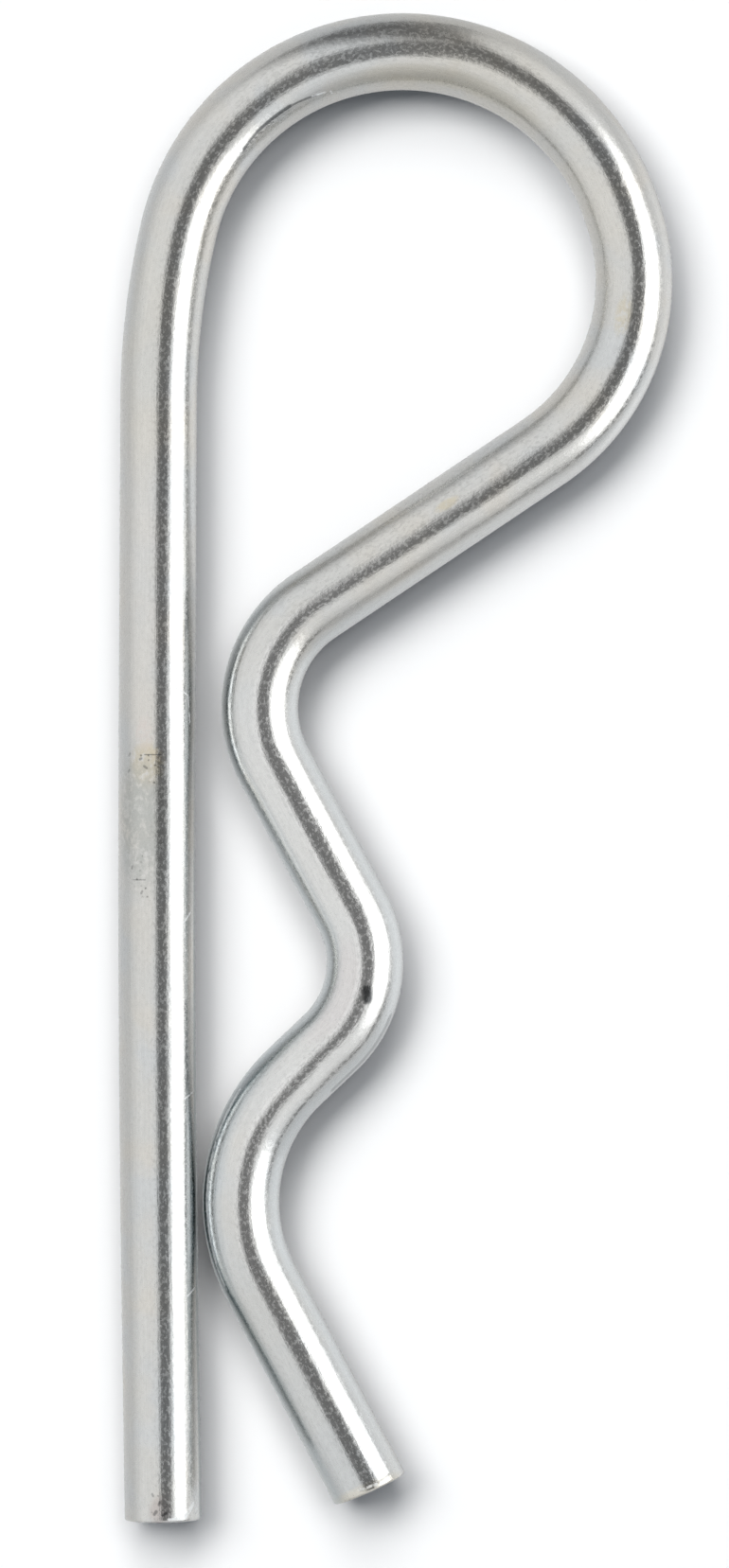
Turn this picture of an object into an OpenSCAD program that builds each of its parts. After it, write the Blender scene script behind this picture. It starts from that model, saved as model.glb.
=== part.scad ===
// Hitch R clip pin: one length of round spring wire, bent flat. A straight leg goes through the
// cross hole of a shaft, a loop springs it, and a waved leg snaps round the outside of the shaft.
// The wire is laid out as it is formed, round pegs: it runs straight from one peg to the next,
// and bends round each. The layout is drawn with the straight leg's tip at [0, 0], pointing
// along -Y, and the waved leg on the +X side. The finished clip lies flat on Z = 0, with the
// middle of its outline on the Z axis.

/* [Wire] */
// Diameter of the wire
wire_d = 4; // [3.2:0.1:4.5]
// Radius that the wire loses where it is bent
bend_thinning = 0.005; // [0.004:0.001:0.02]
// Edge broken off each cut end
edge_break = 0.2; // [0.05:0.05:0.6]

/* [Straight leg] */
// Straight run at the tip, which enters the cross hole
tip_run = 12.5; // [6:0.5:14]
// Radius of the slight bow that the leg has taken
bow_r = 1500; // [900:50:3000]
// Turn of that bow, in degrees
bow_angle = 1.1; // [0.6:0.1:1.6]
// Straight run from the bow to the loop
leg_run = 17.1; // [12:0.1:24]

/* [Loop] */
// Inside radius of the easy bend that leads into the loop
shoulder_r = 38; // [30:1:50]
// Turn of that bend, in degrees
shoulder_angle = 12.1; // [6:0.1:16]
// Inside radius over the top of the loop
crown_r = 10; // [8.5:0.1:12]
// Turn over the top of the loop, in degrees
crown_angle = 149; // [130:1:160]
// Inside radius where the loop turns back to the leg
return_r = 8.75; // [7:0.05:11]
// Straight wire between two bends of the loop
loop_feed = 0.4; // [0.2:0.1:2]

/* [Waved leg] */
// Distance of the seat from the straight leg's tip, along the leg
seat_y = 29; // [27:0.1:31]
// Distance from the straight leg's axis to the inner face of the seat
seat_depth = 8.95; // [7.5:0.05:10.5]
// Inside radius of the seat's bend
seat_r = 3.75; // [2.5:0.05:5]
// Distance along the leg from the seat to the knee, the bend on its loop side
knee_rise = 13.2; // [12:0.1:15]
// Gap between the straight leg and the knee
knee_gap = 1.65; // [0.8:0.05:3]
// Inside radius of the knee
knee_r = 4.4; // [3.5:0.1:6]
// Distance along the leg from the seat to the throat, the bend on its tip side
throat_drop = 12.6; // [12:0.1:14]
// Gap between the straight leg and the throat
throat_gap = 0.3; // [0.2:0.05:1.5]
// Inside radius of the throat
throat_r = 7; // [5:0.1:8]

/* [Tail] */
// Angle at which the tail flares away from the straight leg, in degrees
flare_angle = 27; // [20:1:35]
// Length of the tail from the throat's bend to its cut end
tail_run = 12.2; // [8:0.1:14]
// Angle by which the tail's cut is out of square, in degrees
tail_skew = 3.5; // [0:0.5:8]

/* [Hidden] */
$fn = 96;

wire_r = wire_d / 2;
bent_r = wire_r - bend_thinning;
// A straight run reaches this far into the bends it joins, so that the runs and bends fuse
lap = 0.05;

// Unit vector along a heading, and the one to its left
function ahead(heading) = [cos(heading), sin(heading)];
function left(heading) = [-sin(heading), cos(heading)];

// A peg is [x, y, k]: the centre of a bend, and the radius of the wire's axis there, which is
// positive where the wire turns left and negative where it turns right.
function centre(peg) = [peg.x, peg.y];

// Where the wire's axis touches a peg while it has a heading
function touch(peg, heading) = centre(peg) - peg.z * left(heading);

// The peg that the wire meets after a straight run from a point
function peg_after(point, heading, run, k) =
    let (c = point + run * ahead(heading) + k * left(heading)) [c.x, c.y, k];

// Heading of the straight wire that leaves one peg and meets the next: the tangent of both
function between(a, b) =
    let (d = centre(b) - centre(a)) atan2(d.y, d.x) - asin((b.z - a.z) / norm(d));

// The straight leg points at the loop along +Y, then each bend of the loop turns it right
leg_heading = 90;
bow = peg_after([0, 0], leg_heading, tip_run, -bow_r);
bowed_heading = leg_heading - bow_angle;
shoulder = peg_after(touch(bow, bowed_heading), bowed_heading, leg_run, -(shoulder_r + wire_r));
crown_in = bowed_heading - shoulder_angle;
crown = peg_after(touch(shoulder, crown_in), crown_in, loop_feed, -(crown_r + wire_r));
crown_out = crown_in - crown_angle;
back = peg_after(touch(crown, crown_out), crown_out, loop_feed, -(return_r + wire_r));

// The waved leg's bends are set out from the straight leg
knee_axis_r = knee_r + wire_r;
knee = [wire_d + knee_gap + knee_axis_r, seat_y + knee_rise, knee_axis_r];
seat = [seat_depth - seat_r, seat_y, -(seat_r + wire_r)];
throat_axis_r = throat_r + wire_r;
throat = [wire_d + throat_gap + throat_axis_r, seat_y - throat_drop, throat_axis_r];
tail_heading = flare_angle - leg_heading;
tail_end = touch(throat, tail_heading) + tail_run * ahead(tail_heading);

pegs = [bow, shoulder, crown, back, knee, seat, throat];
last = len(pegs) - 1;
headings = [
    leg_heading, bowed_heading, crown_in, crown_out,
    between(back, knee), between(knee, seat), between(seat, throat), tail_heading
];

// Reach of the outline: the tip and the leg's side, the crown's top, and the loop's far side,
// which is on whichever bend the wire heads straight back to the tip
top_y = crown.y + abs(crown.z) + bent_r;
far_bend = crown_out > -leg_heading ? back : crown;
far_x = far_bend.x + abs(far_bend.z) + bent_r;
middle = [(far_x - wire_r) / 2, top_y / 2];

// Straight wire along +X, lapping into a bend at both ends
module run(length) {
    translate([-lap, 0, 0])
        rotate([0, 90, 0])
            cylinder(h = length + 2 * lap, r = wire_r);
}

// Straight wire along +X from a cut end at the origin, lapping into a bend at the other. The
// wire is kept inside a 45 degree cone, whose flat end is the cut and whose side breaks the edge.
module cut_run(length, skew) {
    slant = wire_r * tan(skew);
    spread = length + wire_d;
    flat_r = wire_r - edge_break;
    intersection() {
        translate([-slant, 0, 0])
            rotate([0, 90, 0])
                cylinder(h = length + slant + lap, r = wire_r);
        rotate([0, 90, -skew])
            cylinder(h = spread, r1 = flat_r, r2 = flat_r + spread);
    }
}

// Wire bent round a peg, from one heading to the next
module bend(peg, heading_in, heading_out) {
    axis_r = abs(peg.z);
    first = peg.z > 0 ? heading_in - 90 : heading_out + 90;
    translate(centre(peg))
        rotate_extrude(start = first, angle = abs(heading_out - heading_in))
            translate([axis_r, 0])
                circle(r = bent_r);
}

module straight_leg() {
    rotate([0, 0, leg_heading])
        cut_run(tip_run, 0);
}

module tail() {
    translate(tail_end)
        rotate([0, 0, tail_heading + 180])
            cut_run(tail_run, tail_skew);
}

module clip() {
    color("silver")
        translate([-middle.x, -middle.y, wire_r]) {
            straight_leg();
            for (i = [0 : last])
                bend(pegs[i], headings[i], headings[i + 1]);
            for (i = [1 : last]) {
                from = touch(pegs[i - 1], headings[i]);
                to = touch(pegs[i], headings[i]);
                translate(from)
                    rotate([0, 0, headings[i]])
                        run(norm(to - from));
            }
            tail();
        }
}

clip();
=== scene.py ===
import math

import bpy
import numpy as np
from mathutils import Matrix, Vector


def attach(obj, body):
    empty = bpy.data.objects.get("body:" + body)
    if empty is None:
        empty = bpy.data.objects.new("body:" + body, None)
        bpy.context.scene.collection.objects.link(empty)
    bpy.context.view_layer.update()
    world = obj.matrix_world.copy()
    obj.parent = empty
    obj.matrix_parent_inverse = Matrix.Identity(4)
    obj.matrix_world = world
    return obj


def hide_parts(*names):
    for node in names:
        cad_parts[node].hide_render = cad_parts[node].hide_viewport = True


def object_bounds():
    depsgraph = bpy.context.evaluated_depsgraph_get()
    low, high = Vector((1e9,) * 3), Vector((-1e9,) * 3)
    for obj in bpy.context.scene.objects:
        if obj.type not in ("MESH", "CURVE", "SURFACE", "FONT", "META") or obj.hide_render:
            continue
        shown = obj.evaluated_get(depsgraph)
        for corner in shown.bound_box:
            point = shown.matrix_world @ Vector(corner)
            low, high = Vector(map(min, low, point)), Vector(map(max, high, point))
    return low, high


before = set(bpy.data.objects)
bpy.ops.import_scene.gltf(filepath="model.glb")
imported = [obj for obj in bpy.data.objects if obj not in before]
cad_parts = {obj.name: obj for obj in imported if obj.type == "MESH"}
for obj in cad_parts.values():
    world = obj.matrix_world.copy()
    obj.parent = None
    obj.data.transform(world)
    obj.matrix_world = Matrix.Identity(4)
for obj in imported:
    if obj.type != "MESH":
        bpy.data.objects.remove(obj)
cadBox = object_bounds()
print("frame loaded")

mm = 0.001

# Sizes of the clip in mm and degrees: the wire's straight runs and its bends, each with the
# radius of the wire's axis. Knee, seat and throat are (x, y, radius) from the straight leg's tip,
# and a radius is negative where the wire turns right
clipSizes = {
    "wireRadius": 2.0,
    "tipRun": 12.5,
    "bowRadius": 1500,
    "bowAngle": 1.1,
    "legRun": 17.1,
    "shoulderRadius": 40,
    "shoulderAngle": 12.1,
    "crownRadius": 12,
    "crownAngle": 149,
    "returnRadius": 10.75,
    "loopFeed": 0.4,
    "knee": (12.05, 42.2, 6.4),
    "seat": (5.2, 29.0, -5.75),
    "throat": (13.3, 16.4, 9.0),
    "tailHeading": -63,
    "tailRun": 12.2,
    "tailSkew": 3.5,
    "skewReach": 3,
}

# How finely the wire's surface is drawn, in mm, and the edge broken off each cut
wireMesh = {
    "axisStep": 0.05,
    "rowStep": 0.22,
    "ringPoints": 96,
    "edgeRound": 0.12,
    "edgeRows": 6,
    "faceRings": 9,
}


def ahead(heading):
    return np.stack([np.cos(heading), np.sin(heading)], -1)


def left(heading):
    return np.stack([-np.sin(heading), np.cos(heading)], -1)


def headingBetween(a, b):
    # the tangent of two pegs: bearing of their centres less asin(difference of radii / distance)
    dx, dy = b[0] - a[0], b[1] - a[1]
    return math.atan2(dy, dx) - math.asin((b[2] - a[2]) / math.hypot(dx, dy))


def layOutWire(sizes, axisStep):
    # the wire's axis: [x, y] and heading in small steps of its length, from the leg's tip on.
    # a peg is (x, y, k): the axis is peg - k * left(heading) while the heading turns past it
    deg = math.radians
    headings = [deg(90)]
    pegs = []
    at = np.zeros(2)
    loop = [
        (sizes["tipRun"], -sizes["bowRadius"], sizes["bowAngle"]),
        (sizes["legRun"], -sizes["shoulderRadius"], sizes["shoulderAngle"]),
        (sizes["loopFeed"], -sizes["crownRadius"], sizes["crownAngle"]),
        (sizes["loopFeed"], -sizes["returnRadius"], 0),
    ]
    for run, k, turn in loop:
        heading = headings[-1]
        centre = at + run * ahead(heading) + k * left(heading)
        pegs.append((*centre, k))
        headings.append(heading - deg(turn))
        at = centre - k * left(headings[-1])
    headings.pop()
    for name in ("knee", "seat", "throat"):
        headings.append(headingBetween(pegs[-1], sizes[name]))
        pegs.append(sizes[name])
    headings.append(deg(sizes["tailHeading"]))

    points, turns = [np.zeros((1, 2))], [np.array([headings[0]])]
    for peg, start, stop in zip(pegs, headings[:-1], headings[1:]):
        count = max(4, int(abs(peg[2] * (stop - start)) / axisStep))
        turn = np.linspace(start, stop, count)
        points.append(np.array(peg[:2]) - peg[2] * left(turn))
        turns.append(turn)
    tail = ahead(headings[-1]) * sizes["tailRun"]
    points.append(points[-1][-1:] + tail)
    turns.append(np.array([headings[-1]]))
    points, turns = np.concatenate(points), np.concatenate(turns)
    length = np.concatenate([[0], np.cumsum(np.hypot(*np.diff(points, axis=0).T))])
    return points, turns, length


def wireSurface(sizes, mesh, box):
    # swept tube: point(s, a) = axis(s) + r(s) * (sin(a) * right(s) + cos(a) * up), where s runs
    # along the wire and a round it from the underside. At each end r follows a quarter circle of
    # the edge's radius, then falls to 0 over the flat cut
    points, turns, length = layOutWire(sizes, mesh["axisStep"])
    total = length[-1]
    edge = mesh["edgeRound"]
    radius = sizes["wireRadius"]
    curl = np.linspace(0, 0.5 * np.pi, mesh["edgeRows"])
    endS = edge * (1 - np.sin(curl))
    endR = radius - edge * (1 - np.cos(curl))
    faceR = np.linspace(radius - edge, 0, mesh["faceRings"] + 1)[1:-1]
    body = np.linspace(edge, total - edge, int(total / mesh["rowStep"]))[1:-1]
    s = np.concatenate([faceR * 0, endS[::-1], body, total - endS, faceR * 0 + total])
    r = np.concatenate([faceR[::-1], endR[::-1], body * 0 + radius, endR, faceR])
    x, y = np.interp(s, length, points[:, 0]), np.interp(s, length, points[:, 1])
    turn = np.interp(s, length, turns)
    angle = np.linspace(-np.pi, np.pi, mesh["ringPoints"] + 1)[:-1]
    side, up = np.sin(angle), np.cos(angle)
    right, forward = -left(turn), ahead(turn)

    # the tail is sheared a little out of square, which shifts its last rows along the wire
    reach = sizes["skewReach"]
    near = np.clip((s - (total - reach)) / reach, 0, 1)
    shift = -math.tan(math.radians(sizes["tailSkew"])) * np.outer(near**2 * r, side)
    across = np.outer(r, side)

    # the straight leg's tip is in the low corner of the clip's box
    tipX, tipY = box[0][0] / mm + radius, box[0][1] / mm
    grid = np.stack(
        [
            tipX + x[:, None] + across * right[:, :1] + shift * forward[:, :1],
            tipY + y[:, None] + across * right[:, 1:] + shift * forward[:, 1:],
            radius + np.outer(r, up),
        ],
        -1,
    )
    return grid, s, r, total


def buildWire(name, sizes, mesh, box):
    grid, s, r, total = wireSurface(sizes, mesh, box)
    rows, ring = grid.shape[:2]
    poles = np.stack([grid[0].mean(0), grid[-1].mean(0)])
    vertices = np.concatenate([grid.reshape(-1, 3), poles]) * mm

    # a quad between each two rows and two points of the ring, and a fan of triangles on each cut
    i, j = np.meshgrid(np.arange(rows - 1), np.arange(ring), indexing="ij")
    row, nextRow, after = i * ring, (i + 1) * ring, (j + 1) % ring
    quads = np.stack([row + j, nextRow + j, nextRow + after, row + after], -1).reshape(-1, 4)
    k = np.arange(ring)
    tipPole, lastRow = rows * ring, (rows - 1) * ring
    tip = np.stack([k * 0 + tipPole, k, (k + 1) % ring], -1)
    tail = np.stack([k * 0 + tipPole + 1, lastRow + (k + 1) % ring, lastRow + k], -1)
    faces = quads.tolist() + tip.tolist() + tail.tolist()
    data = bpy.data.meshes.new(name)
    data.from_pydata(vertices.tolist(), [], faces)

    # UV: along the wire, and round it from the underside, with its seam on the underside
    u = s / total
    quadU = np.stack([u[i], u[i + 1], u[i + 1], u[i]], -1).ravel()
    quadV = np.stack([j, j, j + 1, j + 1], -1).ravel() / ring
    tipV = np.stack([k + 0.5, k, k + 1], -1).ravel() / ring
    tailV = np.stack([k + 0.5, k + 1, k], -1).ravel() / ring
    uv = np.stack(
        [
            np.concatenate([quadU, tipV * 0, tailV * 0 + 1]),
            np.concatenate([quadV, tipV, tailV]),
        ],
        -1,
    )
    data.uv_layers.new(name="wireMap").data.foreach_set("uv", uv.ravel())

    # the place of each point on the same wire laid straight: across, up and along, in mm
    angle = np.linspace(-np.pi, np.pi, ring + 1)[:-1]
    straight = np.zeros((rows, ring, 3))
    straight[..., 0] = np.outer(r, np.sin(angle))
    straight[..., 1] = np.outer(r, np.cos(angle))
    straight[..., 2] = s[:, None]
    place = np.concatenate([straight.reshape(-1, 3), [[0, 0, 0], [0, 0, total]]])
    layer = data.attributes.new("straightWire", "FLOAT_VECTOR", "POINT")
    layer.data.foreach_set("vector", place.ravel())

    data.polygons.foreach_set("use_smooth", [True] * len(data.polygons))
    data.validate()
    data.update()
    wire = bpy.data.objects.new(name, data)
    bpy.context.collection.objects.link(wire)
    return wire, total


class Value:
    # one socket, so that shader maths reads as plain expressions
    def __init__(self, nodes, socket):
        self.nodes, self.socket = nodes, socket

    def maths(self, operation, *terms, clamp=False):
        return self.nodes.add("Math", {"operation": operation, "use_clamp": clamp}, *terms)

    def __add__(self, other):
        return self.maths("ADD", self, other)

    __radd__ = __add__

    def __sub__(self, other):
        return self.maths("SUBTRACT", self, other)

    def __rsub__(self, other):
        return self.maths("SUBTRACT", other, self)

    def __mul__(self, other):
        return self.maths("MULTIPLY", self, other)

    __rmul__ = __mul__

    def __truediv__(self, other):
        return self.maths("DIVIDE", self, other)

    def __pow__(self, other):
        return self.maths("POWER", self, other)

    def __abs__(self):
        return self.maths("ABSOLUTE", self)

    def most(self, other):
        return self.maths("MAXIMUM", self, other)

    def least(self, other):
        return self.maths("MINIMUM", self, other)

    def atan2(self, other):
        return self.maths("ARCTAN2", self, other)

    def clamped(self):
        return self.maths("ADD", self, 0, clamp=True)

    def between(self, low, high):
        # 0 below low, 1 above high, smooth between them
        return self.nodes.add(
            "MapRange",
            {"interpolation_type": "SMOOTHSTEP"},
            self,
            **{"From Min": low, "From Max": high},
        )

    def window(self, low, high, soft):
        # 1 from low to high, falling to 0 over soft on both sides
        return self.between(low - soft, low) * (1 - self.between(high, high + soft))


class Nodes:
    # adds nodes to the tree of one material, world or light
    def __init__(self, owner):
        owner.use_nodes = True
        self.tree = owner.node_tree
        self.tree.nodes.clear()

    def add(self, kind, settings, *inputs, out=0, **named):
        node = self.tree.nodes.new("ShaderNode" + kind)
        for name, value in settings.items():
            setattr(node, name, value)
        for key, value in [*enumerate(inputs), *named.items()]:
            if isinstance(value, Value):
                self.tree.links.new(value.socket, node.inputs[key])
            elif value is not None:
                node.inputs[key].default_value = value
        if not node.outputs:
            return node
        return Value(self, node.outputs[out])

    def parts(self, vector):
        # x, y and z of a vector
        split = self.add("SeparateXYZ", {}, vector).socket.node
        return [Value(self, socket) for socket in split.outputs]

    def mixColour(self, factor, first, second):
        # a Mix node's colours are its inputs 6 and 7 and its output 2
        colours = {"data_type": "RGBA"}
        return self.add("Mix", colours, factor, *[None] * 5, first, second, out=2)

    def ramp(self, value, stops):
        # smooth curve through (position, level) stops, both 0 to 1
        ramp = self.add("ValToRGB", {}, value)
        scale = ramp.socket.node.color_ramp
        scale.interpolation = "EASE"
        for index, (position, level) in enumerate(stops):
            stop = scale.elements[index] if index < 2 else scale.elements.new(position)
            stop.position = position
            stop.color = (level, level, level, 1)
        return ramp

    def paths(self, *names):
        # what kind of ray is looking, such as "Is Camera Ray"
        path = self.add("LightPath", {}).socket.node
        return [Value(self, path.outputs[name]) for name in names]


# Finish of the plated wire, with painted light and shade on some of its rims and bands. Places
# on it are (along, arc) in mm: along from the leg's tip, and arc round the wire from its upper
# side, positive to the right of the way it runs. Heights are in mm, and a pair of values is where
# a pattern starts to count and where it counts in full
platingLook = {
    "coolColour": (0.62, 0.635, 0.637, 1),
    "colour": (0.64, 0.64, 0.622, 1),
    "warmColour": (0.655, 0.64, 0.603, 1),
    "plainPatches": (0.35, 0.5),
    "warmPatches": (0.52, 0.66),
    "stainPatches": (0.75, 1.1),
    "fleckRange": (0.3, 0.7),
    "fleckDepth": 0.1,
    "roughness": 0.18,
    "frost": 0.13,
    "frostPatches": (0.48, 0.62),
    "pitColour": (0.16, 0.16, 0.15, 1),
    "pitScale": 3.2,
    "pitSize": (0.1, 0.26),
    "pitsEverywhere": 0.04,
    "pitBreaks": (0.35, 0.6),
    "pitRoughness": 0.35,
    "pitDepth": 0.006,
    "nickAndShadeColour": (0.045, 0.05, 0.055, 1),
    "scratchAndHighlightColour": (0.95, 0.97, 0.98, 1),
    "scratchBreaks": (0.3, 0.55),
    "scratchRoughness": 0.5,
    "scratchMatt": 0.5,
    "markDepth": 0.8,  # how much of the metal's colour a pit or scratch takes away
    "cutDark": (0.44, 0.43, 0.41, 1),
    "cutColour": (0.60, 0.59, 0.56, 1),
    "cutRoughness": 0.42,
    "cutRim": (0.16, 0.1),
    "cutLines": (0.35, 0.6),
    "grainHeight": 0.0065,
    "mottleHeight": 0.006,
    "lineHeight": 0.0035,
    "swellHeight": 0.009,
    "cutHeight": 0.012,
    # noise in the metal: how close it is across, up and along the wire, scale, detail, roughness
    "noises": {
        "lines": (12, 12, 0.3, 1.0, 3.0, 0.5),
        "grain": (1, 1, 0.65, 5.0, 3.0, 0.65),
        "frost": (1, 1, 0.65, 6.5, 2.0, 0.6),
        "mottle": (1, 1, 1, 2.2, 3.0, 0.6),
        "swells": (1, 1, 0.35, 0.8, 1.0, 0.5),
        "blotch": (1, 1, 1, 0.3, 2.0, 0.5),
        "shear": (9, 0.7, 1, 1.0, 3.0, 0.5),
    },
    # where bending and gripping left the surface leaning: (along, lean to the left in radians),
    # with every lean within half of the range
    "leanRange": 0.2,
    "leans": [
        (0, 0.0),
        (8, 0.02),
        (20, 0.045),
        (34, 0.045),
        (50, 0.02),
        (60, 0.03),
        (66, -0.045),
        (70, 0.0),
        (76, 0.055),
        (81, 0.05),
        (84, 0.0),
        (87, -0.085),
        (90, -0.04),
        (93, 0.0),
        (98, 0.03),
        (102, 0.0),
        (106, -0.045),
        (112, -0.045),
        (117, -0.075),
        (122, -0.03),
        (126, 0.0),
        (132, 0.01),
        (138, 0.06),
        (144, 0.05),
        (150, 0.02),
        (153.5, 0.0),
        (156, -0.075),
        (160, 0.03),
        (170, 0.065),
        (179, 0.04),
    ],
    # tinted places, some the plating's own warm and cool tones and some painted light and shade
    # that
    # stand for what the metal reflects: along, arc, half lengths along and round, strength, colour
    "tintsAndPaintedLight": [
        (146, 0, 17, 5.0, 0.9, (0.70, 0.705, 0.695, 1)),
        (173, 1.0, 10, 1.8, 0.7, (0.575, 0.59, 0.59, 1)),
        (49, -1.0, 10, 1.6, 0.6, (0.68, 0.67, 0.645, 1)),
        (37, -0.7, 9, 1.1, 0.3, (0.68, 0.64, 0.575, 1)),
        (61, -0.8, 8, 1.5, 0.5, (0.665, 0.65, 0.60, 1)),
        (124, 0.0, 5, 3.0, 0.4, (0.665, 0.65, 0.61, 1)),
        # painted light: a lighter outer rim on the diagonal, where the metal reflects the shadowed
        # floor
        (118, -2.5, 13, 1.0, 0.8, (0.82, 0.83, 0.82, 1)),
        (168, -1.7, 14, 1.5, 0.5, (0.62, 0.65, 0.665, 1)),
        # painted shade: a cooler, darker rim beside the leg, for the blue-grey shadow it reflects
        (161, 2.0, 8, 1.1, 0.5, (0.56, 0.61, 0.64, 1)),
        (92, 1.5, 14, 1.9, 0.3, (0.67, 0.635, 0.56, 1)),
        (88, -1.0, 5, 2.0, 0.3, (0.67, 0.635, 0.56, 1)),
        # painted shade: the dark teal right rim of the straight leg, standing for the shadowed
        # floor and wire it reflects
        (15, 3.0, 34, 0.6, 0.9, (0.22, 0.27, 0.28, 1)),
        # painted highlight: a thin light line on the throat's rim beside the leg
        (162, 2.15, 6, 0.3, 0.8, (0.93, 0.95, 0.96, 1)),
        (179.2, 0.3, 0.6, 3.0, 0.7, (0.68, 0.65, 0.57, 1)),
        (0.6, -0.05, 0.9, 0.7, 0.5, (0.45, 0.38, 0.36, 1)),
        (16, 0.6, 34, 0.9, 0.4, (0.61, 0.645, 0.66, 1)),
        # painted shade: a cooler, darker right rim, for the blue-grey shadow it reflects
        (148, 2.4, 26, 1.2, 0.6, (0.56, 0.62, 0.65, 1)),
        # painted reflection: a cooler left rim, for the blue-grey floor it reflects
        (148, -2.4, 34, 1.0, 0.6, (0.65, 0.69, 0.71, 1)),
        # painted shade: a cooler, darker right rim on the tail, for the blue-grey shadow it
        # reflects
        (172, 2.4, 12, 1.0, 0.5, (0.50, 0.56, 0.58, 1)),
        (150, 0.9, 4, 1.0, 0.4, (0.69, 0.65, 0.65, 1)),
        (86, 1.4, 7, 0.7, 0.25, (0.62, 0.58, 0.45, 1)),
        (37.2, -0.9, 1.5, 1.3, 0.35, (0.52, 0.545, 0.54, 1)),
        # painted light: lightens the dark band reflected along the top of the wire from the
        # diagonal to the tail
        (146, -0.05, 35, 0.5, 0.7, (0.84, 0.84, 0.83, 1)),
        # painted light, in these three: lighter bands low on the right side of the wire, where it
        # reflects dark floor and wire
        (24, 1.72, 32, 0.3, 0.7, (0.85, 0.86, 0.85, 1)),
        (140, 1.75, 11, 0.3, 0.8, (0.90, 0.92, 0.92, 1)),
        (162, 1.75, 5, 0.3, 0.4, (0.90, 0.92, 0.92, 1)),
    ],
    # stained spots, in the same way, broken up by the grain
    "stains": [
        (39.4, -0.5, 1.3, 1.0, 1.0, (0.67, 0.59, 0.44, 1)),
        (41.0, -0.6, 1.0, 0.6, 0.5, (0.68, 0.61, 0.57, 1)),
        (36.6, -0.8, 4.2, 1.7, 0.75, (0.45, 0.46, 0.44, 1)),
        (104.3, 0.45, 1.3, 0.5, 0.5, (0.60, 0.54, 0.40, 1)),
        (118.6, 0.5, 0.8, 0.3, 0.6, (0.60, 0.54, 0.40, 1)),
    ],
    # pitted spots: along, arc, half lengths along and round
    "pitted": [(39.2, -0.7, 1.5, 1.2), (33.4, -0.8, 1.4, 0.8), (0.8, -0.1, 0.8, 0.7)],
    # dark nicks, and one painted line of shade on a rim: from (along, arc) to (along, arc), width,
    # strength
    "nicksAndPaintedShade": [
        (149.4, -0.27, 149.8, -0.43, 0.52, 0.85),
        # painted shade: a dark line along the left rim, standing for a dark line the metal
        # reflects
        (150.3, -2.35, 154.3, -2.38, 0.35, 0.35),
        (0.45, -0.4, 0.6, -0.3, 0.16, 0.55),
        (0.95, -0.15, 1.1, -0.1, 0.14, 0.5),
        (0.4, 0.05, 0.5, 0.2, 0.16, 0.6),
        (1.4, -0.45, 1.5, -0.5, 0.12, 0.4),
        (178.8, -0.1, 178.9, 0.4, 0.14, 0.3),
        (178.95, -0.3, 178.8, -1.4, 0.12, 0.45),
        (72.9, 1.41, 74.2, 1.3, 0.16, 0.7),
        (74.2, 1.3, 76.6, 1.33, 0.2, 0.8),
        (76.6, 1.33, 78.2, 1.53, 0.13, 0.6),
        (39.9, -0.59, 39.9, 0.31, 0.06, 0.6),
        (33.4, -1.29, 33.4, -0.55, 0.07, 0.35),
        (39.66, -0.86, 39.7, -0.78, 0.13, 0.5),
        (39.2, -0.48, 39.3, -0.62, 0.12, 0.5),
        (39.85, -1.58, 39.95, -1.5, 0.12, 0.35),
        (39.0, -1.62, 39.1, -1.55, 0.12, 0.35),
        (34.0, -1.35, 34.1, -1.3, 0.12, 0.4),
        (32.7, -0.78, 32.8, -0.72, 0.12, 0.4),
    ],
    # bright scratches, and one painted highlight line on the throat's rim, in the same way
    "scratchesAndPaintedHighlight": [
        (0.25, 1.25, 0.9, 1.9, 0.2, 0.9),
        (0.5, 2.1, 0.8, 2.3, 0.2, 0.8),
        (0.15, 0.35, 0.2, 0.9, 0.14, 0.8),
        (178.85, 0.5, 178.95, -0.5, 0.13, 0.6),
        # painted highlight: a pale matt line along the throat's rim beside the leg
        (157.5, 2.2, 166.5, 2.15, 0.22, 0.7),
        (11.7, 1.6, 12.1, 2.3, 0.08, 1),
        (22.0, 1.6, 22.3, 2.3, 0.09, 1),
        (31.1, 1.5, 31.7, 2.2, 0.09, 1),
        (41.6, 2.1, 43.0, 1.9, 0.09, 1),
        (43.0, 1.9, 43.4, 1.0, 0.08, 1),
        (78.0, 1.48, 78.8, 1.62, 0.1, 1),
        (79.1, 1.66, 79.15, 1.85, 0.1, 1),
        (24.6, 1.55, 25.3, 1.6, 0.08, 1),
    ],
}


def strokes(along, arc, places):
    # the strongest of several straight strokes: distance to a segment, faded over its width
    core, rim = 0.25, 0.75
    found = None
    for along0, arc0, along1, arc1, width, strength in places:
        length = math.hypot(along1 - along0, arc1 - arc0)
        unit = (along1 - along0) / length, (arc1 - arc0) / length
        x, y = along - along0, arc - arc0
        reach = (x * unit[0] + y * unit[1]).most(0).least(length)
        off = ((x - reach * unit[0]) ** 2 + (y - reach * unit[1]) ** 2) ** 0.5
        mark = (1 - off.between(core * width, rim * width)) * strength
        found = mark if found is None else found.most(mark)
    return found


def spot(along, arc, place):
    # a soft-edged ellipse: 1 in its middle, 0 outside
    core, rim = 0.2, 1.2
    off = ((along - place[0]) / place[2]) ** 2 + ((arc - place[1]) / place[3]) ** 2
    return 1 - off.between(core, rim)


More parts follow.
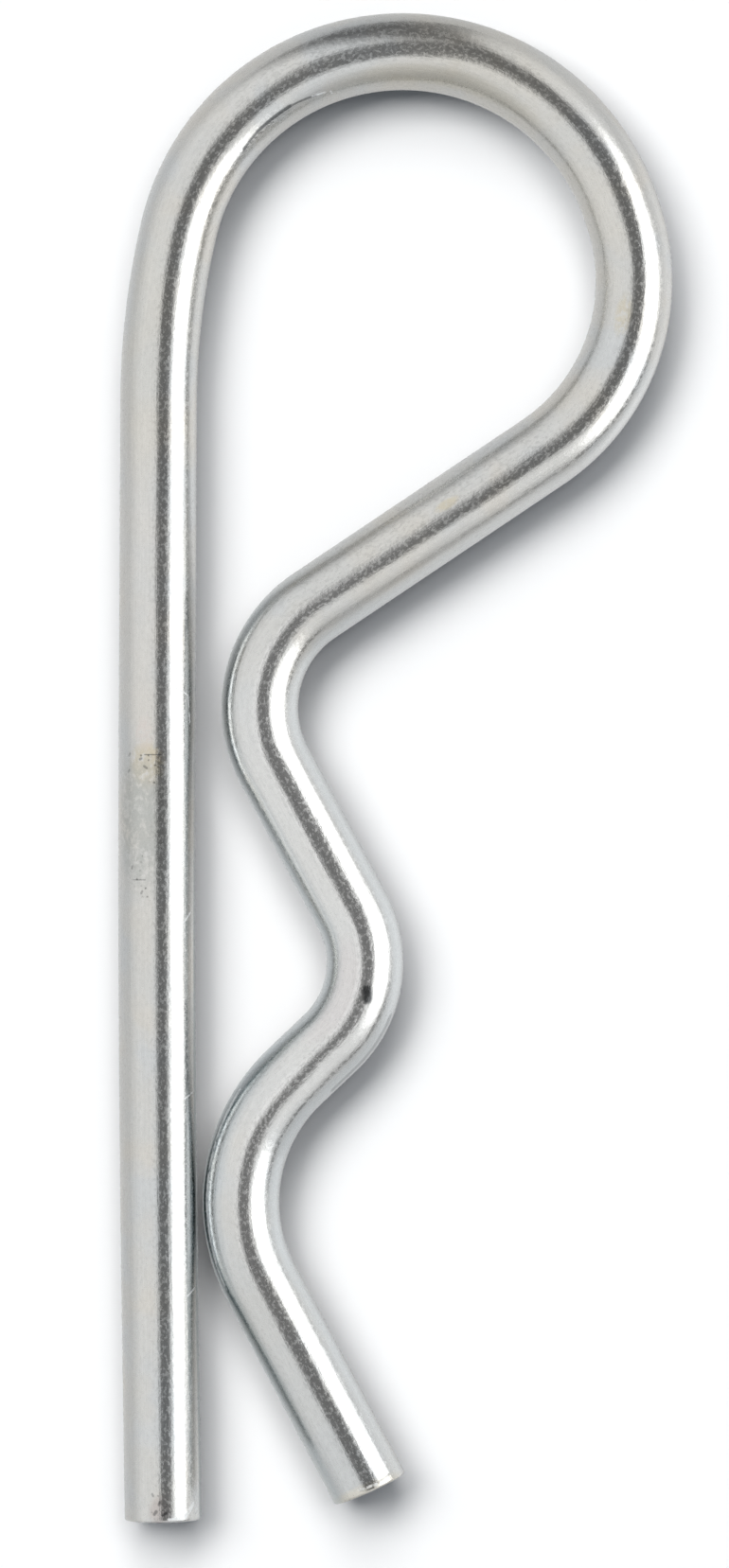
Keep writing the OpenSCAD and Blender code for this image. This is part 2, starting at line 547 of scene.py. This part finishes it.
def makePlating(look, wireRadius, total):
    material = bpy.data.materials.new("brightZinc")
    nodes = Nodes(material)
    place = nodes.add("Attribute", {"attribute_name": "straightWire"}, out="Vector")
    across, up, length = nodes.parts(place)
    u, v, _ = nodes.parts(nodes.add("UVMap", {"uv_map": "wireMap"}))
    along, arc = u * total, (v - 0.5) * (2 * math.pi * wireRadius)

    def noise(name):
        # one of the metal's noises, drawn out along the wire
        closeAcross, closeUp, closeAlong, scale, detail, rough = look["noises"][name]
        drawn = across * closeAcross, up * closeUp, length * closeAlong
        vector = nodes.add("CombineXYZ", {}, *drawn)
        named = {"Vector": vector, "Scale": scale, "Detail": detail, "Roughness": rough}
        return nodes.add("TexNoise", {}, **named)

    # drawing lines run along the wire, and the plating's grain is much the same size each way
    lines, grain, mottle, blotch = noise("lines"), noise("grain"), noise("mottle"), noise("blotch")
    colour = look["coolColour"]
    colour = nodes.mixColour(blotch.between(*look["plainPatches"]), colour, look["colour"])
    colour = nodes.mixColour(blotch.between(*look["warmPatches"]), colour, look["warmColour"])
    # the plating's own tints, and the painted light and shade on rims and bands
    for tintOrPaintedLight in look["tintsAndPaintedLight"]:
        colour = nodes.mixColour(spot(along, arc, tintOrPaintedLight) * tintOrPaintedLight[4], colour, tintOrPaintedLight[5])
    flecks = (grain.between(*look["fleckRange"]) + lines.between(*look["fleckRange"])) * 0.5
    shaded = nodes.mixColour(look["fleckDepth"], colour, (0, 0, 0, 1))
    colour = nodes.mixColour(flecks, colour, shaded)
    patchy = (mottle + grain).between(*look["stainPatches"])
    for stain in look["stains"]:
        mask = spot(along, arc, stain) * patchy * stain[4]
        colour = nodes.mixColour(mask, colour, stain[5])

    # pits: small cells of a Voronoi pattern, few everywhere and many where the wire is pitted
    cells = nodes.add("TexVoronoi", {}, Vector=place, Scale=look["pitScale"])
    pitted = spot(along, arc, look["pitted"][0])
    for patch in look["pitted"][1:]:
        pitted = pitted.most(spot(along, arc, patch))
    pits = (1 - cells.between(*look["pitSize"])) * (look["pitsEverywhere"] + pitted).clamped()
    pits = pits * grain.between(*look["pitBreaks"])
    nicksAndPaintedShade = strokes(along, arc, look["nicksAndPaintedShade"])
    scratchesAndPaintedHighlight = strokes(along, arc, look["scratchesAndPaintedHighlight"]) * grain.between(*look["scratchBreaks"])
    colour = nodes.mixColour(pits * look["markDepth"], colour, look["pitColour"])
    # dark nicks, and a painted line of shade, in one dark colour
    colour = nodes.mixColour(nicksAndPaintedShade, colour, look["nickAndShadeColour"])
    # bright scratches, and a painted highlight line, pale and matt
    colour = nodes.mixColour(scratchesAndPaintedHighlight * look["markDepth"], colour, look["scratchAndHighlightColour"])
    roughness = look["roughness"] + look["frost"] * noise("frost").between(*look["frostPatches"])
    roughness = roughness + look["pitRoughness"] * pits + look["scratchRoughness"] * scratchesAndPaintedHighlight

    # the flat cuts at the ends, where the shears left fine lines from top to bottom
    inner, outer = (wireRadius - rim for rim in look["cutRim"])
    onCut = 1 - ((across**2 + up**2) ** 0.5).between(inner, outer)
    shear = noise("shear")
    cut = nodes.mixColour(shear.between(*look["cutLines"]), look["cutDark"], look["cutColour"])
    colour = nodes.mixColour(onCut, colour, cut)
    roughness = roughness + onCut * (look["cutRoughness"] - roughness)

    leanRange = look["leanRange"]
    leaning = nodes.ramp(u, [(at / total, 0.5 + lean / leanRange) for at, lean in look["leans"]])
    height = (
        look["grainHeight"] * grain
        + look["mottleHeight"] * mottle
        + look["lineHeight"] * lines
        + look["swellHeight"] * noise("swells")
        + look["cutHeight"] * onCut * shear
        + (0.5 - leaning) * leanRange * across
        - look["pitDepth"] * pits
    )
    bump = nodes.add("Bump", {}, Strength=1.0, Distance=mm, Height=height)
    surface = nodes.add(
        "BsdfPrincipled",
        {},
        Metallic=1 - look["scratchMatt"] * scratchesAndPaintedHighlight,
        Roughness=roughness,
        Normal=bump,
        **{"Base Color": colour},
    )
    nodes.add("OutputMaterial", {}, surface)
    return material


# Studio round the clip, as the metal reflects it: a pale sky, the dark camera overhead, the dark
# stand that carries it down on the far side, and a near side that is darker, with a low dark edge.
# Leans are in degrees from straight up: toward +X, and toward +Y. A pair of limits is where a
# thing starts to show and where it shows in full, or the other way round
studio = {
    "sky": 1.04,
    "skyLow": 0.84,
    "skyRise": (-0.1, 0.6),
    "nearSide": 0.45,
    "nearSideFrom": (0.4, 1.1),
    "cameraTone": 0.19,
    "cameraLeanX": (-3, 26),
    "cameraLeanY": (-14, 24),
    "cameraSoft": (5, 7),
    "cameraSpread": (0.15, 0.4),
    "cameraAbove": (0, 0.2),
    "standTone": 0.17,
    "standPlane": (0.955, 0.165, -0.246),  # direction square to the stand
    "standWidens": 1.25,
    "standWidth": (0.08, 0.54),
    "standFrom": (0.05, 0.3),
    "edgeDepth": 0.8,
    "edgeRise": (0.1, 0.45),  # how low it starts, and its slope
    "edgeWidth": (0.04, 0.13),
    "edgeFrom": (-0.72, -0.2, 0.14),  # its two ends, and how softly it ends
    "edgeSide": (0, 0.3),
    "ambient": (0.056, 0.07, 0.0875, 1),  # what the floor gets from all round
}


def makeWorld(look):
    world = bpy.data.worlds.new("studio")
    bpy.context.scene.world = world
    nodes = Nodes(world)
    x, y, z = nodes.parts(nodes.add("TexCoord", {}, out="Generated"))

    # the dark patch of the camera, which is wider toward the far side
    toDegrees = 180 / math.pi
    leanX, leanY = x.atan2(z) * toDegrees, y.atan2(z) * toDegrees
    (lowX, highX), (spreadLow, spreadHigh) = look["cameraLeanX"], look["cameraSpread"]
    softX, softY = look["cameraSoft"]
    beyond = leanY.most(0)
    camera = (leanX + beyond * spreadLow).between(lowX - softX, lowX)
    camera = camera * (1 - (leanX - beyond * spreadHigh).between(highX, highX + softX))
    camera = camera * leanY.window(*look["cameraLeanY"], softY) * z.between(*look["cameraAbove"])

    # the stand's plane runs from the camera down to the horizon, and widens as it comes down
    planeX, planeY, planeZ = look["standPlane"]
    offStand = abs(x * planeX + y * planeY + z * planeZ) / (look["standWidens"] - z)
    stand = (1 - offStand.between(*look["standWidth"])) * y.between(*look["standFrom"])

    sky = look["skyLow"] + (look["sky"] - look["skyLow"]) * z.between(*look["skyRise"])
    sky = sky * (1 - look["nearSide"] * (0 - y).between(*look["nearSideFrom"]))

    # the edge rises as it goes from the clip
    drop, slope = look["edgeRise"]
    offEdge = abs(z + drop + y * slope)
    edge = (1 - offEdge.between(*look["edgeWidth"])) * y.window(*look["edgeFrom"])
    sky = sky * (1 - look["edgeDepth"] * edge * x.between(*look["edgeSide"]))
    level = look["standTone"] * stand + sky * (1 - stand)
    level = look["cameraTone"] * camera + level * (1 - camera)
    seen = nodes.add("CombineXYZ", {}, level, level, level)

    # light that has left the floor meets the plain level, also by way of the metal
    isGlossy, isCamera, bounces = nodes.paths("Is Glossy Ray", "Is Camera Ray", "Diffuse Depth")
    plain = nodes.mixColour(isCamera, look["ambient"], (1, 1, 1, 1))
    colour = nodes.mixColour(isGlossy * (1 - bounces.clamped()), plain, seen)
    nodes.add("OutputWorld", {}, nodes.add("Background", {}, colour, 1.0))


# The sweep under the clip. Its sheen, and the foot of the stand on it, show in the metal alone.
# The foot is (x, y, half width, half length) in mm, and the floor's reach is in metres
floorLook = {
    "reach": 4.0,
    "tone": 0.97,
    "toneInMetal": 0.2,
    "coolness": 0.01,
    "sheen": 0.2,
    "sheenRoughness": 0.35,
    "glow": 0.011,
    "glowInMetal": 0.52,
    "foot": (0, 100, 20, 40),
    "footEdge": (0.5, 1.5),
    "footTone": 0.15,
}


def makeFloor(look):
    reach = look["reach"]
    data = bpy.data.meshes.new("floor")
    corners = [(-reach, -reach, 0), (reach, -reach, 0), (reach, reach, 0), (-reach, reach, 0)]
    data.from_pydata(corners, [], [(0, 1, 2, 3)])
    floor = bpy.data.objects.new("floor", data)
    bpy.context.collection.objects.link(floor)
    material = bpy.data.materials.new("whiteSweep")
    data.materials.append(material)
    nodes = Nodes(material)
    isCamera, isGlossy, bounces = nodes.paths("Is Camera Ray", "Is Glossy Ray", "Diffuse Depth")
    # what the metal shows to the camera, and not what it passes on to the floor
    inMetal = isGlossy * (1 - bounces.clamped())

    x, y, _ = nodes.parts(nodes.add("TexCoord", {}, out="Object"))
    footX, footY, footWide, footLong = (length * mm for length in look["foot"])
    offFoot = ((x - footX) / footWide) ** 2 + ((y - footY) / footLong) ** 2
    foot = 1 - offFoot.between(*look["footEdge"])
    cool, tones = look["coolness"], (look["tone"], look["toneInMetal"])
    colours = [(tone * (1 - cool), tone, tone * (1 + cool), 1) for tone in tones]
    colour = nodes.mixColour(isGlossy, *colours)
    colour = nodes.mixColour(isGlossy * foot, colour, (*[look["footTone"]] * 3, 1))
    glow = isCamera * look["glow"] + inMetal * (1 - foot) * look["glowInMetal"]
    matt = nodes.add(
        "BsdfPrincipled",
        {},
        Roughness=1.0,
        **{
            "Base Color": colour,
            "Specular IOR Level": 0.0,
            "Emission Color": nodes.add("CombineXYZ", {}, glow, glow, glow),
            "Emission Strength": 1.0,
        },
    )
    sheen = nodes.add("BsdfGlossy", {}, (1, 1, 1, 1), look["sheenRoughness"])
    floorMix = nodes.add("MixShader", {}, inMetal * (1 - foot) * look["sheen"], matt, sheen)
    nodes.add("OutputMaterial", {}, floorMix)


# Discs light the floor: two strong ones from the left and the far side, and two weak ones. Lean
# is from straight up, azimuth from +X and spread is a disc's half width, in degrees; brightness
# is what a white floor gets. Their distance is in metres
floorLights = {
    "distance": 4.0,
    "colour": (1.012, 1.0, 0.985),
    "discs": {
        "keyLeft": {"lean": 35, "azimuth": 150, "spread": 16.5, "brightness": 0.505},
        "keyFar": {"lean": 42, "azimuth": 97, "spread": 18.5, "brightness": 0.36},
        "fill": {"lean": 23, "azimuth": 40, "spread": 13.8, "brightness": 0.16},
        "near": {"lean": 30, "azimuth": -80, "spread": 18, "brightness": 0.045},
    },
}


def makeFloorLight(name, disc, distance, colour):
    lean, azimuth = math.radians(disc["lean"]), math.radians(disc["azimuth"])
    data = bpy.data.lights.new(name, "AREA")
    data.shape = "DISK"
    data.size = 2 * distance * math.tan(math.radians(disc["spread"]))
    # a disc's energy that gives the floor this brightness: pi^2 * d^2 * brightness / cos(lean)
    data.energy = math.pi**2 * distance**2 * disc["brightness"] / math.cos(lean)
    data.color = colour
    light = bpy.data.objects.new(name, data)
    toward = Vector(
        (math.sin(lean) * math.cos(azimuth), math.sin(lean) * math.sin(azimuth), math.cos(lean))
    )
    light.location = toward * distance
    light.rotation_euler = toward.to_track_quat("Z", "Y").to_euler()
    light.visible_glossy = False
    bpy.context.collection.objects.link(light)


# A white panel stands upright beside the clip, where only its reflection counts: an oval of this
# width and height in mm with a soft edge, cut off toward its near end
sidePanel = {
    "at": (117, 2, 95.5),
    "width": 222,
    "height": 143,
    "margin": 1.1,
    "slant": 0.15,
    "edge": (0.79, 1.18),
    "nearEnd": (-95, -65),
    "brightness": 1.62,
}


def makePanel(look):
    width, height = look["width"] * mm, look["height"] * mm
    data = bpy.data.lights.new("sidePanel", "AREA")
    data.shape = "RECTANGLE"
    data.size, data.size_y = height * look["margin"], width * look["margin"]
    data.energy = look["brightness"] * math.pi * data.size * data.size_y
    panel = bpy.data.objects.new("sidePanel", data)
    panel.location = Vector(look["at"]) * mm
    panel.rotation_euler = (0, math.radians(90), 0)
    panel.visible_diffuse = False
    panel.visible_camera = False
    bpy.context.collection.objects.link(panel)

    # oval: (across / half width)^2 + (up / half height, slanted)^2 is under 1
    nodes = Nodes(data)
    (bounces,) = nodes.paths("Diffuse Depth")
    _, y, z = nodes.parts(nodes.add("NewGeometry", {}))
    _, atY, atZ = panel.location
    offY, offZ = (y - atY) / (width / 2), (z - atZ) / (height / 2)
    oval = 1 - (offY**2 + (offZ + offY * look["slant"]) ** 2).between(*look["edge"])
    cut = y.between(*(end * mm for end in look["nearEnd"]))
    shown = (1 - bounces.clamped()) * oval * cut
    nodes.add("OutputLight", {}, nodes.add("Emission", {}, (1, 1, 1, 1), shown))


# The camera looks straight down: the point it aims at, its distance and the height of what it
# shows are in mm, and its roll is in degrees
viewpoint = {"aim": (-1.69, -0.98, 2.0), "distance": 400.0, "roll": -0.821, "frameHeight": 81.83}


def makeCamera(look):
    data = bpy.data.cameras.new("camera")
    data.sensor_width = 36
    data.lens = data.sensor_width * look["distance"] / look["frameHeight"]
    data.clip_start = 0.01
    camera = bpy.data.objects.new("camera", data)
    x, y, z = look["aim"]
    camera.location = (x * mm, y * mm, (z + look["distance"]) * mm)
    camera.rotation_euler = (0, 0, math.radians(look["roll"]))
    bpy.context.collection.objects.link(camera)
    bpy.context.scene.camera = camera


makeCamera(viewpoint)
makeWorld(studio)
for discName, disc in floorLights["discs"].items():
    makeFloorLight(discName, disc, floorLights["distance"], floorLights["colour"])
makePanel(sidePanel)
makeFloor(floorLook)
print("studio set")

wire, wireLength = buildWire("wire", clipSizes, wireMesh, cadBox)
wire.data.materials.append(makePlating(platingLook, clipSizes["wireRadius"], wireLength))
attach(wire, "root")
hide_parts("clip")
print("wire bent:", len(wire.data.polygons), "faces")

bpy.context.scene.view_settings.view_transform = "Standard"
